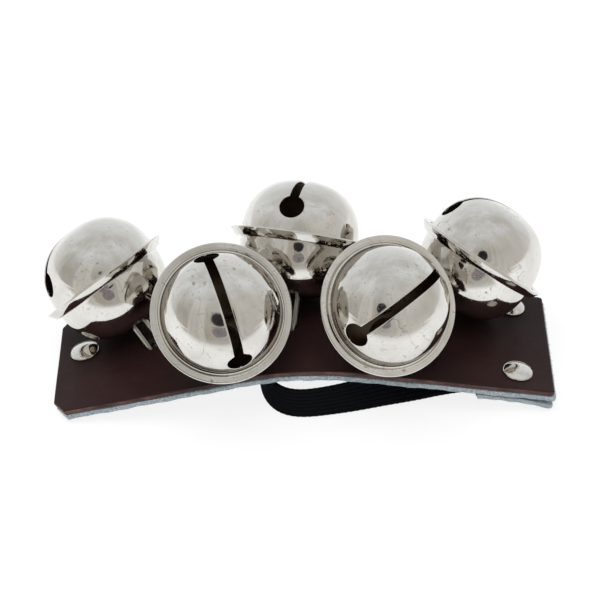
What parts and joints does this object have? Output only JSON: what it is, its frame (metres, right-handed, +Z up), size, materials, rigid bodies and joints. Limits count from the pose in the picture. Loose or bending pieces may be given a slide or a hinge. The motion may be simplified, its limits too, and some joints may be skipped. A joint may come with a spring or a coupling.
{
  "type": "wrist bells",
  "caption": "Row of slotted metal jingle bells wired to a lined leather strap, with an elastic loop that closes round the wrist; it is played by shaking.",
  "frame": {"origin": "middle of the footprint at the level of the table that the wrist bells lie on", "axes": "+X along the strap from the stud end to the elastic end, +Y across the strap, +Z up from the wrist side to the bells"},
  "size_m": [0.1234, 0.0556, 0.0446],
  "materials": {
    "leather": "satin dark brown",
    "suede": "napped suede",
    "elastic": "ribbed woven elastic",
    "nickel": "bright nickel plate",
    "steel": "plain steel"
  },
  "bodies": {
    "strap": {"leather_strap": "leather", "suede_lining": "suede", "elastic_patch": "suede", "elastic_tab_front": "elastic", "elastic_tab_rear": "elastic", "rivet_cap_front": "nickel", "rivet_back_front": "nickel", "rivet_cap_rear": "nickel", "rivet_back_rear": "nickel", "rivet_cap_left": "nickel", "rivet_back_left": "nickel", "loop_pin_left": "steel", "loop_pin_front_left": "steel", "loop_pin_rear_middle": "steel", "loop_pin_front_right": "steel", "loop_pin_right": "steel"},
    "bell_left": {"bell_dome_left": "nickel", "bell_bowl_left": "nickel", "wire_loop_left": "nickel"},
    "pellet_left": {"pellet_left": "steel"},
    "bell_front_left": {"bell_dome_front_left": "nickel", "bell_bowl_front_left": "nickel", "wire_loop_front_left": "nickel"},
    "pellet_front_left": {"pellet_front_left": "steel"},
    "bell_rear_middle": {"bell_dome_rear_middle": "nickel", "bell_bowl_rear_middle": "nickel", "wire_loop_rear_middle": "nickel"},
    "pellet_rear_middle": {"pellet_rear_middle": "steel"},
    "bell_front_right": {"bell_dome_front_right": "nickel", "bell_bowl_front_right": "nickel", "wire_loop_front_right": "nickel"},
    "pellet_front_right": {"pellet_front_right": "steel"},
    "bell_right": {"bell_dome_right": "nickel", "bell_bowl_right": "nickel", "wire_loop_right": "nickel"},
    "pellet_right": {"pellet_right": "steel"},
    "elastic": {"elastic_loop": "elastic"}
  },
  "joints": [
    {"name": "left_bell_swing", "type": "hinge", "parent": "strap", "child": "bell_left", "pos_m": [-0.0343, 0.00085, 0.00609], "axis": [0.7038, 0.6959, 0.143], "range_deg": [0, 14]},
    {"name": "left_pellet_roll", "type": "hinge", "parent": "bell_left", "child": "pellet_left", "pos_m": [-0.04682, 0.01038, 0.02137], "axis": [-0.796, 0.6054, 0], "range_deg": [-60, 60]},
    {"name": "front_left_bell_swing", "type": "hinge", "parent": "strap", "child": "bell_front_left", "pos_m": [-0.02098, 0.00594, 0.00879], "axis": [-0.9215, -0.3404, -0.1872], "range_deg": [0, 4]},
    {"name": "front_left_pellet_roll", "type": "hinge", "parent": "bell_front_left", "child": "pellet_front_left", "pos_m": [-0.01782, -0.01278, 0.02729], "axis": [0.1664, -0.9861, 0], "range_deg": [-60, 60]},
    {"name": "rear_middle_bell_swing", "type": "hinge", "parent": "strap", "child": "bell_rear_middle", "pos_m": [-0.00309, -0.00145, 0.01178], "axis": [0.9397, -0.3355, 0.0667], "range_deg": [0, 3]},
    {"name": "rear_middle_pellet_roll", "type": "hinge", "parent": "bell_rear_middle", "child": "pellet_rear_middle", "pos_m": [0.00079, 0.01298, 0.0296], "axis": [0.26, 0.9656, 0], "range_deg": [-60, 60]},
    {"name": "front_right_bell_swing", "type": "hinge", "parent": "strap", "child": "bell_front_right", "pos_m": [0.01331, 0.0054, 0.01116], "axis": [-0.9431, -0.3024, 0.1385], "range_deg": [0, 5]},
    {"name": "front_right_pellet_roll", "type": "hinge", "parent": "bell_front_right", "child": "pellet_front_right", "pos_m": [0.02135, -0.01212, 0.02768], "axis": [0.4172, -0.9088, 0], "range_deg": [-60, 60]},
    {"name": "right_bell_swing", "type": "hinge", "parent": "strap", "child": "bell_right", "pos_m": [0.03224, 0.0023, 0.00816], "axis": [0.6583, -0.7455, -0.1046], "range_deg": [0, 4]},
    {"name": "right_pellet_roll", "type": "hinge", "parent": "bell_right", "child": "pellet_right", "pos_m": [0.0446, 0.01101, 0.02388], "axis": [0.8175, 0.576, 0], "range_deg": [-60, 60]},
    {"name": "elastic_fold", "type": "hinge", "parent": "strap", "child": "elastic", "pos_m": [0.04186, 0, 0.00516], "axis": [0, -1, 0], "range_deg": [0, 45]}
  ]
}
